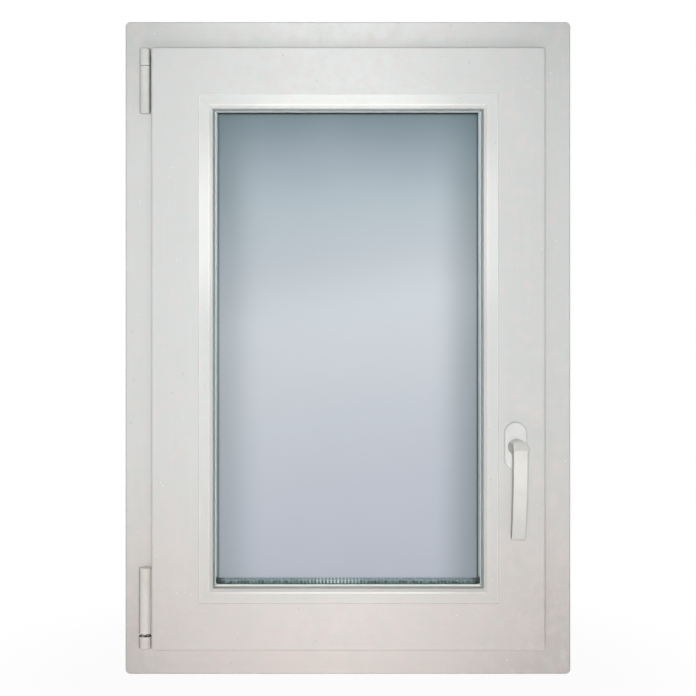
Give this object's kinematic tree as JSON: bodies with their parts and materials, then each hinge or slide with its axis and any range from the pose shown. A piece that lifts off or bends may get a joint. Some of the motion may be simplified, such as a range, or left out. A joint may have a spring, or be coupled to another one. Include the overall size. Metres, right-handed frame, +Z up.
{
  "type": "tilt and turn window",
  "caption": "White framed window with an inward opening sash that swings on side hinges or tilts in at the top, double glazing, beads and a lever handle.",
  "frame": {"origin": "centre of the frame's flat bottom face", "axes": "+X right as seen from the room, +Y outdoors, +Z up"},
  "size_m": [0.58, 0.1521, 0.85],
  "materials": {
    "pvc": "satin white",
    "seal": "matt grey",
    "glass": "clear",
    "spacer": "mill",
    "setting_block": "matt",
    "hinge_cover": "satin white",
    "handle": "white coated",
    "steel": "zinc plated"
  },
  "bodies": {
    "frame": {"frame_sill": "pvc", "frame_head": "pvc", "frame_hinge_jamb": "pvc", "frame_lock_jamb": "pvc", "frame_seal": "seal", "stay_bearing": "hinge_cover", "stay_pin": "steel", "corner_bearing": "hinge_cover", "striker_lower": "steel", "striker_upper": "steel", "striker_top": "steel", "striker_bottom": "steel", "drain_cap_left": "pvc", "drain_cap_right": "pvc"},
    "hinge_pivot": {"pivot_cup": "steel"},
    "stay": {"stay_band": "hinge_cover", "stay_arm": "steel"},
    "sash": {"sash_bottom_rail": "pvc", "sash_top_rail": "pvc", "sash_hinge_stile": "pvc", "sash_lock_stile": "pvc", "sash_seal": "seal", "bead_bottom": "pvc", "bead_top": "pvc", "bead_hinge_side": "pvc", "bead_lock_side": "pvc", "bead_seal": "seal", "glazing_seal": "seal", "inner_pane": "glass", "outer_pane": "glass", "spacer_bar": "spacer", "setting_block_left": "setting_block", "setting_block_right": "setting_block", "corner_sleeve": "hinge_cover", "sleeve_pin": "steel", "gear_rail_lock": "steel", "gear_rail_top": "steel", "gear_rail_bottom": "steel", "cam_lower": "steel", "cam_upper": "steel", "cam_top": "steel", "cam_bottom": "steel", "handle_rosette": "handle"},
    "handle": {"handle_grip": "handle", "handle_spindle": "steel"}
  },
  "joints": [
    {"name": "sash_turn", "type": "hinge", "parent": "frame", "child": "hinge_pivot", "pos_m": [-0.263, -0.045, 0.0424], "axis": [0, 0, -1], "range_deg": [0, 90]},
    {"name": "sash_tilt", "type": "hinge", "parent": "hinge_pivot", "child": "sash", "pos_m": [-0.263, -0.045, 0.0424], "axis": [-1, 0, 0], "range_deg": [-8, 0]},
    {"name": "stay_swing", "type": "hinge", "parent": "hinge_pivot", "child": "stay", "pos_m": [-0.263, -0.045, 0.8], "axis": [0, 0, -1], "range_deg": [0, 23.5]},
    {"name": "handle_turn", "type": "hinge", "parent": "sash", "child": "handle", "pos_m": [0.215, -0.058, 0.3], "axis": [0, -1, 0], "range_deg": [-180, 0]}
  ],
  "couplings": [
    {"joint": "stay_swing", "follows": "sash_tilt", "ratio": -2.87}
  ]
}
